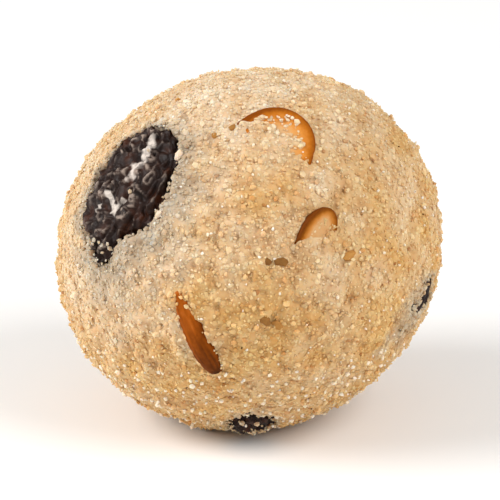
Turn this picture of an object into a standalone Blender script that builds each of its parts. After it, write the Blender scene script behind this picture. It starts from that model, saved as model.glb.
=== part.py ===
"""A rava ladoo: one hand-rolled ball of roasted semolina, sugar and ghee, about 40 mm across.

The ball is slightly squashed, rests on a small flat, and has a crumbly skin with coarse semolina
granules standing out of it. Flakes and slivers of almond are pressed into it, and three black
raisins sit in pockets of their own.

Places on the ball are given as a longitude and a latitude in degrees. Longitude 0 is the front,
which faces -Y, and grows towards +X. Latitude 90 is the top. A heading is the way a long piece
runs: 0 points along growing longitude and 90 points to the top.
"""

import math
import random
from collections import namedtuple

import bmesh
import bpy
from mathutils import Matrix, Vector, noise

MM = 0.001

# The ball. The squash axis is the way that it is shorter.
LONG_RADIUS = 19.75 * MM
SHORT_RADIUS = 18.2 * MM
SQUASH_AXIS = Vector((-0.34, 0.32, 0.88)).normalized()
SQUASH = (LONG_RADIUS / SHORT_RADIUS) ** 2 - 1.0
FOOT_DEPTH = 0.7 * MM
LUMP_HEIGHT = 0.28 * MM
LUMP_WAVES = 1.7
BALL_SPLITS = 18

# The crumbly skin: relief as fine as the faces allow, and the coarsest granules standing out of it.
CRUMB_HEIGHT = 0.62 * MM
CRUMB_SIZE = 1.6 * MM
GRANULE_COUNT = 112
GRANULE_RADIUS = (0.50 * MM, 0.72 * MM)
GRANULE_STRETCH = (0.8, 1.25)
GRANULE_SINK = 0.25
GRANULE_SHIFT = 0.35
GRANULE_CLEARANCE = 1.0 * MM
FOOT_KEEP_OUT = 7.0 * MM
GOLDEN_ANGLE = math.pi * (3.0 - math.sqrt(5.0))
SEED = 7
SHARP_ANGLE = math.radians(50.0)

# Raisins: half sizes are along, across and through, and stand is how far one rises above the skin.
# Seen from outside each is an oval that bulges or pulls in at its lobes: the angle of a lobe round
# the oval, how much it swells there, and its width, with angles in degrees.
Lobe = namedtuple("Lobe", "angle swell width")
Raisin = namedtuple("Raisin", "longitude latitude heading half_sizes stand lobes")
RAISINS = {
    "raisin_left": Raisin(
        -52.0,
        33.0,
        95.0,
        (7.1 * MM, 5.7 * MM, 2.7 * MM),
        0.85 * MM,
        (
            Lobe(-45.0, 0.05, 20.0),
            Lobe(-95.0, 0.07, 32.0),
            Lobe(-150.0, -0.09, 17.0),
            Lobe(177.0, 0.19, 16.0),
            Lobe(120.0, 0.08, 28.0),
            Lobe(66.0, -0.06, 20.0),
        ),
    ),
    "raisin_right": Raisin(
        67.0,
        -10.0,
        30.0,
        (4.4 * MM, 2.6 * MM, 2.2 * MM),
        0.40 * MM,
        (Lobe(180.0, 0.12, 14.0), Lobe(40.0, -0.08, 40.0)),
    ),
    "raisin_under": Raisin(
        0.0,
        -57.0,
        82.0,
        (3.7 * MM, 3.0 * MM, 2.1 * MM),
        0.75 * MM,
        (Lobe(0.0, 0.12, 14.0), Lobe(120.0, -0.08, 40.0)),
    ),
}
RAISIN_FACET = 2.1 * MM
FOLD_DEPTH = 0.5 * MM
FOLD_SHARPNESS = 2.4
FOLD_WAVES = (2.6, 3.6, 3.2)
FOLDS_APART = 9.0
SOCKET_GAP = 0.32 * MM

# Almond flakes, laid almost flat: the end that the heading points at is lifted clear of the skin
# and the left side is rolled up, both in degrees. Half sizes are along and across.
Flake = namedtuple("Flake", "longitude latitude heading lift roll half_sizes depth")
FLAKES = {
    "flake_top": Flake(9.0, 50.6, 54.0, 7.6, -0.5, (5.2 * MM, 4.4 * MM), 0.50 * MM),
    "flake_middle": Flake(20.6, 19.4, 61.0, 7.6, 12.5, (4.05 * MM, 2.1 * MM), 0.32 * MM),
    "flake_back": Flake(-165.0, 26.0, 120.0, 7.0, -3.0, (5.4 * MM, 4.3 * MM), 0.55 * MM),
}
FLAKE_THICKNESS = 1.2 * MM
FLAKE_SIDES = 28

# Almond slivers, laid along the skin: the heading points at the blunt end.
Sliver = namedtuple("Sliver", "longitude latitude heading length half_width half_height")
SLIVERS = {
    "sliver_front": Sliver(-16.2, -7.2, -68.0, 9.8 * MM, 1.25 * MM, 0.85 * MM),
    "sliver_back": Sliver(140.0, 12.0, 35.0, 11.5 * MM, 1.05 * MM, 0.90 * MM),
    "sliver_pale": Sliver(-118.0, -2.0, 112.0, 10.0 * MM, 1.15 * MM, 0.85 * MM),
    "sliver_crown": Sliver(158.0, 54.0, -20.0, 7.5 * MM, 1.00 * MM, 0.80 * MM),
}
SLIVER_POINTS = 9
SLIVER_TIP = 0.35
SLIVER_SKEW = 1.5
SLIVER_SINK = 0.35
WELD_DISTANCE = 0.01 * MM

# Finishes, as linear colour and roughness.
SEMOLINA = ((0.72, 0.46, 0.23), 0.75)
RAISIN_SKIN = ((0.025, 0.015, 0.014), 0.40)


def direction(longitude, latitude):
    """The unit vector from the ball's centre towards a place on its skin."""
    east = math.radians(longitude)
    up = math.radians(latitude)
    return Vector((math.sin(east) * math.cos(up), -math.cos(east) * math.cos(up), math.sin(up)))


def smooth_radius(way):
    """Distance from the centre to the skin without its crumbs: a squashed ball with soft lumps."""
    along = way.dot(SQUASH_AXIS)
    squashed = LONG_RADIUS / math.sqrt(1.0 + SQUASH * along * along)
    return squashed + LUMP_HEIGHT * noise.noise(way * LUMP_WAVES)


def outward(way):
    """The way the skin faces there, which the squash turns a little from the radius."""
    return (way + SQUASH_AXIS * (SQUASH * way.dot(SQUASH_AXIS))).normalized()


def ball_centre():
    """The centre's height leaves the lowest FOOT_DEPTH of the ball below the ground plane."""
    return Vector((0.0, 0.0, smooth_radius(Vector((0.0, 0.0, -1.0))) - FOOT_DEPTH))


def seat(longitude, latitude, heading, depth):
    """A frame on the skin: X runs along the heading, Z points out, and depth sinks the origin."""
    way = direction(longitude, latitude)
    up = outward(way)
    east = Vector((math.cos(math.radians(longitude)), math.sin(math.radians(longitude)), 0.0))
    north = up.cross(east).normalized()
    turn = math.radians(heading)
    along = (east * math.cos(turn) + north * math.sin(turn)).normalized()
    across = up.cross(along).normalized()
    place = ball_centre() + way * smooth_radius(way) - up * depth
    turned = Matrix((along, across, up)).transposed()
    return Matrix.Translation(place) @ turned.to_4x4()


def collection(name):
    made = bpy.data.collections.new(name)
    bpy.context.scene.collection.children.link(made)
    return made


def material(name, colour, roughness):
    made = bpy.data.materials.new(name)
    made.use_nodes = True
    shader = made.node_tree.nodes["Principled BSDF"]
    shader.inputs["Base Color"].default_value = (*colour, 1.0)
    shader.inputs["Roughness"].default_value = roughness
    shader.inputs["Metallic"].default_value = 0.0
    return made


def add_object(name, mesh, into, finish=None):
    made = bpy.data.objects.new(name, mesh)
    into.objects.link(made)
    if finish:
        mesh.materials.append(finish)
    return made


def mesh_from(bm, name):
    bmesh.ops.recalc_face_normals(bm, faces=bm.faces[:])
    mesh = bpy.data.meshes.new(name)
    bm.to_mesh(mesh)
    bm.free()
    return mesh


def evaluated_mesh(obj):
    bpy.context.view_layer.update()
    return bpy.data.meshes.new_from_object(obj.evaluated_get(bpy.context.evaluated_depsgraph_get()))


def split_sphere(splits):
    """A unit ball of even triangles: each face of an icosahedron is split into splits x splits."""
    bm = bmesh.new()
    bmesh.ops.create_icosphere(bm, subdivisions=1, radius=1.0)
    bmesh.ops.subdivide_edges(bm, edges=bm.edges[:], cuts=splits - 1, use_grid_fill=True)
    bmesh.ops.triangulate(bm, faces=bm.faces[:])
    for vert in bm.verts:
        vert.co.normalize()
    return bm


def crumb_relief(way):
    """Height of the crumbs over the smooth skin."""
    return CRUMB_HEIGHT * noise.noise(way * (LONG_RADIUS / CRUMB_SIZE))


def ball_mesh():
    bm = split_sphere(BALL_SPLITS)
    centre = ball_centre()
    for vert in bm.verts:
        way = vert.co.copy()
        vert.co = centre + way * (smooth_radius(way) + crumb_relief(way))
    return mesh_from(bm, "ladoo")


def keep_outs():
    """Cones round the foot, the raisins and the almonds, where no coarse granule goes."""
    pieces = [(raisin, raisin.half_sizes[0]) for raisin in RAISINS.values()]
    pieces += [(flake, flake.half_sizes[0]) for flake in FLAKES.values()]
    pieces += [(sliver, sliver.length / 2.0) for sliver in SLIVERS.values()]
    found = [(Vector((0.0, 0.0, -1.0)), FOOT_KEEP_OUT / SHORT_RADIUS)]
    for piece, reach in pieces:
        cone = (reach + GRANULE_CLEARANCE) / SHORT_RADIUS
        found.append((direction(piece.longitude, piece.latitude), cone))
    return found


def spiral_way(index, draw):
    """The next place on an even spiral round the ball, shifted by a random draw."""
    height = 1.0 - (2.0 * index + 1.0) / GRANULE_COUNT
    flat = math.sqrt(1.0 - height * height)
    turn = index * GOLDEN_ANGLE
    way = Vector((flat * math.cos(turn), flat * math.sin(turn), height))
    spacing = math.sqrt(4.0 * math.pi / GRANULE_COUNT)
    shift = Vector([draw.uniform(-1.0, 1.0) for _ in range(3)])
    return (way + shift * spacing * GRANULE_SHIFT).normalized()


def add_granules(into):
    """The coarsest semolina granules, spread evenly but for the raisins, the almonds and the foot."""
    draw = random.Random(SEED)
    cones = keep_outs()
    centre = ball_centre()
    for index in range(GRANULE_COUNT):
        way = spiral_way(index, draw)
        if any(way.angle(middle) < reach for middle, reach in cones):
            continue
        radius = draw.uniform(*GRANULE_RADIUS)
        bm = bmesh.new()
        bmesh.ops.create_icosphere(bm, subdivisions=1, radius=radius)
        granule = add_object(f"granule_{index}", mesh_from(bm, f"granule_{index}"), into)
        stands = smooth_radius(way) + crumb_relief(way) - radius * GRANULE_SINK
        spin = Matrix.Rotation(draw.uniform(0.0, math.tau), 4, [draw.uniform(-1.0, 1.0) for _ in range(3)])
        stretch = Matrix.Diagonal([draw.uniform(*GRANULE_STRETCH) for _ in range(3)]).to_4x4()
        granule.matrix_world = Matrix.Translation(centre + way * stands) @ spin @ stretch


def add_flakes(into):
    """Oval almond flakes with one edge lifted, so that a crescent of each stands clear of the skin."""
    for name, flake in FLAKES.items():
        bm = bmesh.new()
        bmesh.ops.create_cone(
            bm,
            cap_ends=True,
            cap_tris=False,
            segments=FLAKE_SIDES,
            radius1=1.0,
            radius2=1.0,
            depth=FLAKE_THICKNESS,
        )
        bmesh.ops.scale(bm, vec=(*flake.half_sizes, 1.0), verts=bm.verts[:])
        bmesh.ops.translate(bm, vec=(0.0, 0.0, -FLAKE_THICKNESS / 2.0), verts=bm.verts[:])
        disc = add_object(name, mesh_from(bm, name), into)
        lifted = Matrix.Rotation(math.radians(-flake.lift), 4, "Y")
        rolled = Matrix.Rotation(math.radians(flake.roll), 4, "X")
        place = seat(flake.longitude, flake.latitude, flake.heading, flake.depth)
        disc.matrix_world = place @ lifted @ rolled


def sliver_curve(name, sliver):
    """A rod that follows the curve of the ball and is thicker towards its blunt end."""
    curve = bpy.data.curves.new(name, "CURVE")
    curve.dimensions = "3D"
    curve.bevel_depth = sliver.half_width
    curve.bevel_resolution = 2
    curve.use_fill_caps = True
    spline = curve.splines.new("POLY")
    spline.points.add(SLIVER_POINTS - 1)
    for index, point in enumerate(spline.points):
        share = index / (SLIVER_POINTS - 1)
        x = (share - 0.5) * sliver.length
        swell = math.sqrt(max(0.0, math.sin(math.pi * share**SLIVER_SKEW)))
        point.co = (x, 0.0, -x * x / (2.0 * LONG_RADIUS), 1.0)
        point.radius = SLIVER_TIP + (1.0 - SLIVER_TIP) * swell
    return curve


def add_slivers(into):
    for name, sliver in SLIVERS.items():
        rod = add_object(name, sliver_curve(name, sliver), into)
        bm = bmesh.new()
        bm.from_mesh(evaluated_mesh(rod))
        bpy.data.objects.remove(rod)
        bmesh.ops.remove_doubles(bm, verts=bm.verts[:], dist=WELD_DISTANCE)
        bmesh.ops.scale(bm, vec=(1.0, 1.0, sliver.half_height / sliver.half_width), verts=bm.verts[:])
        piece = add_object(name, mesh_from(bm, name), into)
        depth = sliver.half_height * SLIVER_SINK
        piece.matrix_world = seat(sliver.longitude, sliver.latitude, sliver.heading, depth)


def raisin_seat(raisin):
    depth = raisin.half_sizes[2] - raisin.stand
    return seat(raisin.longitude, raisin.latitude, raisin.heading, depth)


def raisin_swell(way, lobes):
    """How much the oval is stretched there, which fades towards its top and bottom."""
    turn = math.degrees(math.atan2(way.y, way.x))
    rim = math.hypot(way.x, way.y)
    swell = 1.0
    for lobe in lobes:
        apart = (turn - lobe.angle + 180.0) % 360.0 - 180.0
        swell += lobe.swell * math.exp(-((apart / lobe.width) ** 2)) * rim
    return swell


def raisin_oval(raisin, gap=0.0):
    """The raisin without its folds, grown all round by the gap. Returns also each vertex's way."""
    bm = split_sphere(round(2.0 * raisin.half_sizes[0] / RAISIN_FACET))
    sizes = Vector([half + gap for half in raisin.half_sizes])
    ways = []
    for vert in bm.verts:
        way = vert.co.copy()
        swell = raisin_swell(way, raisin.lobes)
        vert.co = Vector((way.x * swell, way.y * swell, way.z)) * sizes
        ways.append(way)
    return bm, ways


def raisin_mesh(name, raisin, number):
    """A dried grape: an oval whose folds wind over it and only ever go inwards."""
    bm, ways = raisin_oval(raisin)
    waves = Vector(FOLD_WAVES)
    apart = Vector((0.0, 0.0, FOLDS_APART * number))
    for vert, way in zip(bm.verts, ways):
        facing = Vector([way[axis] / raisin.half_sizes[axis] for axis in range(3)]).normalized()
        crease = 1.0 - min(1.0, FOLD_SHARPNESS * abs(noise.noise(way * waves + apart)))
        vert.co -= facing * FOLD_DEPTH * crease
    mesh = mesh_from(bm, name)
    mesh.shade_smooth()
    return mesh


def add_raisins(into, finish):
    for number, (name, raisin) in enumerate(RAISINS.items()):
        piece = add_object(name, raisin_mesh(name, raisin, number), into, finish)
        piece.matrix_world = raisin_seat(raisin)


def add_cutter(name, bm, place, into):
    cutter = add_object(name, mesh_from(bm, name), into)
    cutter.matrix_world = place
    cutter.hide_render = True
    cutter.display_type = "WIRE"


def add_sockets(into):
    """A smooth oval for each raisin's pocket, one gap larger than the raisin all round."""
    for name, raisin in RAISINS.items():
        bm, _ = raisin_oval(raisin, SOCKET_GAP)
        add_cutter(f"socket_{name}", bm, raisin_seat(raisin), into)


def add_foot_cutter(into):
    """The block below the ground plane, which leaves the flat that the ball rests on."""
    size = 2.0 * LONG_RADIUS
    bm = bmesh.new()
    bmesh.ops.create_cube(bm, size=size)
    add_cutter("foot_block", bm, Matrix.Translation((0.0, 0.0, -size / 2.0)), into)


def boolean(obj, operation, operands):
    modifier = obj.modifiers.new(operation.lower(), "BOOLEAN")
    modifier.operation = operation
    modifier.operand_type = "COLLECTION"
    modifier.collection = operands
    return modifier


def fuse(obj, pieces):
    """Joins the pieces to the object in one union, then removes them."""
    modifier = boolean(obj, "UNION", pieces)
    joined = evaluated_mesh(obj)
    obj.modifiers.remove(modifier)
    joined.shade_smooth()
    joined.set_sharp_from_angle(angle=SHARP_ANGLE)
    obj.data = joined
    for piece in list(pieces.objects):
        bpy.data.objects.remove(piece)
    bpy.data.collections.remove(pieces)


def main():
    for obj in list(bpy.data.objects):
        bpy.data.objects.remove(obj)
    parts = collection("rava_ladoo")
    toppings = collection("toppings")
    cutters = collection("cutters")

    ladoo = add_object("ladoo", ball_mesh(), parts, material("roasted_semolina", *SEMOLINA))
    add_granules(toppings)
    add_flakes(toppings)
    add_slivers(toppings)
    fuse(ladoo, toppings)

    add_raisins(parts, material("raisin_skin", *RAISIN_SKIN))
    add_sockets(cutters)
    add_foot_cutter(cutters)
    boolean(ladoo, "DIFFERENCE", cutters)


main()
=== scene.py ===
"""Looks of a rava ladoo: pressed semolina grains, almond flakes and slivers, and black raisins.

The ball, its raisins and its almonds sit where the solids have them. Over a crumbly core lie the
real grains, one mesh for each kind. All lengths are in metres.

Places on the ball are a longitude and a latitude in degrees: longitude 0 is the front (-Y) and
grows towards +X, latitude 90 is the top. A heading of 0 runs along growing longitude, 90 to the top.
"""

import math
from collections import namedtuple

import bmesh
import bpy
import numpy as np
from mathutils import Matrix, Vector, noise
from mathutils.kdtree import KDTree


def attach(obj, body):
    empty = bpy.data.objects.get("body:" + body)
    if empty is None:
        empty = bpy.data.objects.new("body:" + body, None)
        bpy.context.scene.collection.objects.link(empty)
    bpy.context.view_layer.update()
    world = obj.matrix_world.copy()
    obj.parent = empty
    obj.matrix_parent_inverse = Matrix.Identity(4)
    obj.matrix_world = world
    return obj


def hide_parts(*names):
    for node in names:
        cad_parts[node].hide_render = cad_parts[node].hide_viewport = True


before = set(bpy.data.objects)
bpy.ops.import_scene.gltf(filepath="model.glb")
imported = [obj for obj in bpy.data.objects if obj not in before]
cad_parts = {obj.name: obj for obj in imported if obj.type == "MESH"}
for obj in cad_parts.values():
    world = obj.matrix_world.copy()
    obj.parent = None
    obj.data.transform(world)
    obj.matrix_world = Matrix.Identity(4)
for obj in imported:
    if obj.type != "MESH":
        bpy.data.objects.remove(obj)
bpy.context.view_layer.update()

MM = 0.001
BODY = "root"

# ---- the form, as in the solids

LONG_RADIUS = 19.75 * MM
SHORT_RADIUS = 18.2 * MM
SQUASH_AXIS = np.array((-0.34, 0.32, 0.88)) / np.linalg.norm((-0.34, 0.32, 0.88))
SQUASH = (LONG_RADIUS / SHORT_RADIUS) ** 2 - 1.0
FOOT_DEPTH = 0.7 * MM
LUMP_HEIGHT = 0.28 * MM
LUMP_WAVES = 1.7
CRUMB_HEIGHT = 0.46 * MM
CRUMB_SIZE = 1.6 * MM
PIT_SIZE = 1.1 * MM
PIT_DEPTH = 0.22 * MM
PIT_BELOW = -0.26
PIT_SLOPE = 0.14
PITS_APART = 0.5

# Raisins: half sizes are along, across and through, and stand is how far one rises above the skin.
Raisin = namedtuple("Raisin", "longitude latitude heading half_sizes stand")
RAISINS = {
    "raisin_left": Raisin(-52.0, 33.0, 95.0, (7.1 * MM, 5.7 * MM, 2.7 * MM), 0.85 * MM),
    "raisin_right": Raisin(67.0, -10.0, 30.0, (4.4 * MM, 2.6 * MM, 2.2 * MM), 0.40 * MM),
    "raisin_under": Raisin(0.0, -57.0, 82.0, (3.7 * MM, 3.0 * MM, 2.1 * MM), 0.75 * MM),
}
# Seen from outside each is an oval that bulges or pulls in at its lobes, in degrees round it.
Lobe = namedtuple("Lobe", "angle swell width")
LOBES = {
    "raisin_left": (
        Lobe(-45.0, 0.05, 20.0),
        Lobe(-95.0, 0.07, 32.0),
        Lobe(-150.0, -0.09, 17.0),
        Lobe(177.0, 0.19, 16.0),
        Lobe(120.0, 0.08, 28.0),
        Lobe(66.0, -0.06, 20.0),
    ),
    "raisin_right": (Lobe(180.0, 0.12, 14.0), Lobe(40.0, -0.08, 40.0)),
    "raisin_under": (Lobe(0.0, 0.12, 14.0), Lobe(120.0, -0.08, 40.0)),
}
FOLD_DEPTH = 0.5 * MM
FOLD_SHARPNESS = 2.4
FOLD_WAVES = np.array((2.6, 3.6, 3.2))
FOLDS_APART = 9.0

# Almond flakes: one end is lifted and one side rolled up, in degrees, so a crescent stands clear.
# Only that end stays bare, from bare_from on along a flake's own frame.
Flake = namedtuple("Flake", "longitude latitude heading lift roll half_sizes depth bare_from")
FLAKES = {
    "flake_top": Flake(9.0, 50.6, 54.0, 7.6, -0.5, (5.2 * MM, 4.4 * MM), 0.50 * MM, 0.9 * MM),
    "flake_middle": Flake(20.6, 19.4, 61.0, 7.6, 12.5, (4.05 * MM, 2.1 * MM), 0.32 * MM, 0.0),
    "flake_back": Flake(-165.0, 26.0, 120.0, 7.0, -3.0, (5.4 * MM, 4.3 * MM), 0.55 * MM, 1.0 * MM),
}
FLAKE_THICKNESS = 1.2 * MM
FLAKE_BEND = 0.60

# Almond slivers: the heading points at the blunt end. Skin is how brown the fine and blunt ends are.
Sliver = namedtuple("Sliver", "longitude latitude heading length half_width half_height skin")
SLIVERS = {
    "sliver_front": Sliver(-16.2, -7.2, -68.0, 9.8 * MM, 1.25 * MM, 0.85 * MM, (0.15, 0.90)),
    "sliver_back": Sliver(140.0, 12.0, 35.0, 11.5 * MM, 1.05 * MM, 0.90 * MM, (0.70, 0.40)),
    "sliver_pale": Sliver(-118.0, -2.0, 112.0, 10.0 * MM, 1.15 * MM, 0.85 * MM, (0.20, 0.70)),
    "sliver_crown": Sliver(158.0, 54.0, -20.0, 7.5 * MM, 1.00 * MM, 0.80 * MM, (0.35, 0.75)),
}
SLIVER_TIP = 0.35
SLIVER_SKEW = 1.5
SLIVER_SINK = 0.35

FAR_AWAY = 1.0
# A point further below a seat than this is on another side of the ball.
SAME_SIDE = -6.0 * MM


def normalized(vectors):
    return vectors / np.linalg.norm(vectors, axis=-1, keepdims=True)


def direction(longitude, latitude):
    east = math.radians(longitude)
    up = math.radians(latitude)
    return np.array((math.sin(east) * math.cos(up), -math.cos(east) * math.cos(up), math.sin(up)))


def noise_at(points, size):
    """Soft noise, mostly from -0.5 to 0.5, with lumps of that size."""
    return np.array([noise.noise(Vector(point)) for point in points / size])


def smooth_radius(ways):
    """Distance from the centre to the skin without its crumbs."""
    along = ways @ SQUASH_AXIS
    squashed = LONG_RADIUS / np.sqrt(1.0 + SQUASH * along * along)
    return squashed + LUMP_HEIGHT * noise_at(ways, 1.0 / LUMP_WAVES)


def outward(ways):
    """The way the skin faces, which the squash turns a little from the radius."""
    return normalized(ways + (SQUASH * (ways @ SQUASH_AXIS))[..., None] * SQUASH_AXIS)


def crumb_relief(ways):
    """Height of the crumbs over the smooth skin, with small pits where crumbs fell out."""
    points = ways * LONG_RADIUS
    pit = np.clip((PIT_BELOW - noise_at(points + PITS_APART, PIT_SIZE)) / PIT_SLOPE, 0.0, 1.0)
    return CRUMB_HEIGHT * noise_at(points, CRUMB_SIZE) - PIT_DEPTH * pit


DOWN = np.array([[0.0, 0.0, -1.0]])
CENTRE = np.array((0.0, 0.0, smooth_radius(DOWN)[0] - FOOT_DEPTH))


class Seat:
    """A frame on the skin: X runs along the heading, Z points out, and depth sinks the origin."""

    def __init__(self, piece, depth, lift=0.0, roll=0.0):
        way = direction(piece.longitude, piece.latitude)
        up = outward(way)
        turn = math.radians(piece.heading)
        round_ball = math.radians(piece.longitude)
        east = np.array((math.cos(round_ball), math.sin(round_ball), 0.0))
        north = normalized(np.cross(up, east))
        along = normalized(east * math.cos(turn) + north * math.sin(turn))
        axes = Matrix((along, np.cross(up, along), up)).transposed()
        lifted = Matrix.Rotation(math.radians(-lift), 3, "Y")
        rolled = Matrix.Rotation(math.radians(roll), 3, "X")
        self.axes = np.array(axes @ lifted @ rolled)
        self.origin = CENTRE + way * smooth_radius(way[None])[0] - up * depth

    def inside(self, points):
        """World points in the seat's own frame."""
        return (points - self.origin) @ self.axes

    def world(self, points):
        return points @ self.axes.T + self.origin


RAISIN_SEATS = {
    name: Seat(raisin, raisin.half_sizes[2] - raisin.stand) for name, raisin in RAISINS.items()
}
FLAKE_SEATS = {name: Seat(flake, flake.depth, flake.lift, flake.roll) for name, flake in FLAKES.items()}
SLIVER_SEATS = {name: Seat(sliver, sliver.half_height * SLIVER_SINK) for name, sliver in SLIVERS.items()}


def raisin_swell(name, x, y, rim):
    """How much a raisin's oval is stretched there, which fades towards its top and bottom."""
    turn = np.degrees(np.arctan2(y, x))
    swell = np.ones(len(x))
    for lobe in LOBES[name]:
        apart = (turn - lobe.angle + 180.0) % 360.0 - 180.0
        swell += lobe.swell * np.exp(-((apart / lobe.width) ** 2)) * rim
    return swell


def sliver_swell(share):
    """How thick a sliver is along its length, from its fine tip to its blunt end."""
    return SLIVER_TIP + (1.0 - SLIVER_TIP) * np.sqrt(np.maximum(0.0, np.sin(math.pi * share**SLIVER_SKEW)))


def above(top, here, covered):
    """How far a piece's top is above each skin point, and far below it where the piece isn't."""
    return np.where(covered & (here[:, 2] > SAME_SIDE), top - here[:, 2], -FAR_AWAY)


def raisin_oval(name, here):
    """0 in the middle of a raisin's oval and 1 on its rim, for points in its own frame."""
    along, across, _ = RAISINS[name].half_sizes
    x, y = here[:, 0] / along, here[:, 1] / across
    return np.hypot(x, y) / raisin_swell(name, x, y, 1.0)


def raisin_rise(points, name):
    """How far the raisin stands above each point of the skin."""
    here = RAISIN_SEATS[name].inside(points)
    oval = raisin_oval(name, here)
    top = RAISINS[name].half_sizes[2] * np.sqrt(np.maximum(0.0, 1.0 - oval**2))
    return above(top, here, oval < 1.0)


def inside_rim(half_sizes, x, y):
    """How far points are inside an oval's rim."""
    share = np.hypot(x / half_sizes[0], y / half_sizes[1]).clip(1e-6)
    steep = np.hypot(x / half_sizes[0] ** 2, y / half_sizes[1] ** 2).clip(1e-6) / share
    return (1.0 - share) / steep


def flake_dip(name, along):
    """How far a flake bends down under the crumb, behind the end that stays bare."""
    return FLAKE_BEND * np.maximum(0.0, FLAKES[name].bare_from - along)


def flake_rise(points, name):
    flake = FLAKES[name]
    here = FLAKE_SEATS[name].inside(points)
    oval = (here[:, 0] / flake.half_sizes[0]) ** 2 + (here[:, 1] / flake.half_sizes[1]) ** 2
    return above(-flake_dip(name, here[:, 0]), here, oval < 1.0)


def sliver_rise(points, name):
    sliver = SLIVERS[name]
    here = SLIVER_SEATS[name].inside(points)
    share = here[:, 0] / sliver.length + 0.5
    swell = sliver_swell(np.clip(share, 0.0, 1.0))
    aside = np.clip(here[:, 1] / (sliver.half_width * swell), -1.0, 1.0)
    top = sliver.half_height * swell * np.sqrt(1.0 - aside**2) - here[:, 0] ** 2 / (2.0 * LONG_RADIUS)
    return above(top, here, (share > 0.0) & (share < 1.0) & (np.abs(aside) < 1.0))


# ---- mesh building


def split_sphere(splits):
    """A unit ball of even triangles, as arrays: an icosahedron with each edge in that many parts."""
    bm = bmesh.new()
    bmesh.ops.create_icosphere(bm, subdivisions=1, radius=1.0)
    if splits > 1:
        bmesh.ops.subdivide_edges(bm, edges=bm.edges[:], cuts=splits - 1, use_grid_fill=True)
        bmesh.ops.triangulate(bm, faces=bm.faces[:])
    bmesh.ops.recalc_face_normals(bm, faces=bm.faces[:])
    bm.verts.index_update()
    places = normalized(np.array([vert.co for vert in bm.verts]))
    faces = np.array([[vert.index for vert in face.verts] for face in bm.faces])
    bm.free()
    return places, faces


def octahedron():
    """The ball with the fewest triangles, for flour."""
    places = np.array([(1, 0, 0), (-1, 0, 0), (0, 1, 0), (0, -1, 0), (0, 0, 1), (0, 0, -1)], float)
    faces = [[0, 2, 4], [2, 1, 4], [1, 3, 4], [3, 0, 4], [2, 0, 5], [1, 2, 5], [3, 1, 5], [0, 3, 5]]
    return places, np.array(faces)


def tube_faces(first, rings, sides):
    """The quads between rings of points, where the first ring starts at the point numbered first."""
    faces = []
    for ring in range(rings - 1):
        here = first + ring * sides
        there = here + sides
        for side in range(sides):
            after = (side + 1) % sides
            faces.append([here + side, there + side, there + after, here + after])
    return faces


def add_object(name, data):
    made = bpy.data.objects.new(name, data)
    bpy.context.scene.collection.objects.link(made)
    return made


def add_piece(name, places, faces, finish, marks, smooth=True, replaces=()):
    """A mesh piece of the ladoo. Marks are numbers for each point that its finish reads."""
    mesh = bpy.data.meshes.new(name)
    mesh.from_pydata(places.tolist(), [], faces if isinstance(faces, list) else faces.tolist())
    for mark, values in marks.items():
        layer = mesh.attributes.new(mark, "FLOAT", "POINT")
        layer.data.foreach_set("value", np.asarray(values, np.float32))
    mesh.materials.append(finish)
    if smooth:
        mesh.shade_smooth()
    mesh.update()
    piece = add_object(name, mesh)
    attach(piece, BODY)
    if replaces:
        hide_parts(*replaces)


# ---- materials


def linear(code):
    """A linear RGBA colour from an sRGB hex code."""
    parts = [int(code[index : index + 2], 16) / 255.0 for index in (1, 3, 5)]
    return [part / 12.92 if part <= 0.04045 else ((part + 0.055) / 1.055) ** 2.4 for part in parts] + [1.0]


def add_node(tree, kind, output, inputs=None, stops=(), **settings):
    """Adds a node with its settings and gives an output of it. An input takes a value or an output."""
    made = tree.nodes.new(kind)
    for name, value in settings.items():
        setattr(made, name, value)
    for key, value in (inputs or {}).items():
        if isinstance(value, bpy.types.NodeSocket):
            tree.links.new(value, made.inputs[key])
        else:
            made.inputs[key].default_value = value
    if stops:
        ramp = made.color_ramp
        while len(ramp.elements) < len(stops):
            ramp.elements.new(1.0)
        for element, (place, colour) in zip(ramp.elements, stops):
            element.position = place
            element.color = linear(colour)
    return made.outputs[output]


def new_finish(name, **inputs):
    """A material with its Principled shader's plain inputs set. Returns it, its tree and the shader."""
    finish = bpy.data.materials.new(name)
    finish.use_nodes = True
    shader = finish.node_tree.nodes["Principled BSDF"]
    for key, value in inputs.items():
        shader.inputs[key.replace("_", " ")].default_value = value
    return finish, finish.node_tree, shader


# Fine relief: how wide and how deep its pits or grooves are, and how strongly they show.
Relief = namedtuple("Relief", "size depth strength detail")
# Most of a noise texture lies between these values.
NOISE_LOW = 0.3
NOISE_HIGH = 0.7
# Where a mix node has its two colours and its result.
FIRST = 6
SECOND = 7
MIXED = 2


def finish_surface(tree, shader, colour, place, uneven, roughness, relief):
    """Gives the shader its colour, a roughness that follows a noise, and fine relief."""
    levels = {"From Min": NOISE_LOW, "From Max": NOISE_HIGH, "To Min": roughness[0], "To Max": roughness[1]}
    rough = add_node(tree, "ShaderNodeMapRange", "Result", {"Value": uneven, **levels})
    pits = {"Vector": place, "Scale": 1.0 / relief.size, "Detail": relief.detail}
    height = add_node(tree, "ShaderNodeTexNoise", "Fac", pits)
    pressed = {"Height": height, "Strength": relief.strength, "Distance": relief.depth}
    bump = add_node(tree, "ShaderNodeBump", "Normal", pressed)
    for key, output in (("Base Color", colour), ("Roughness", rough), ("Normal", bump)):
        tree.links.new(output, shader.inputs[key])


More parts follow.
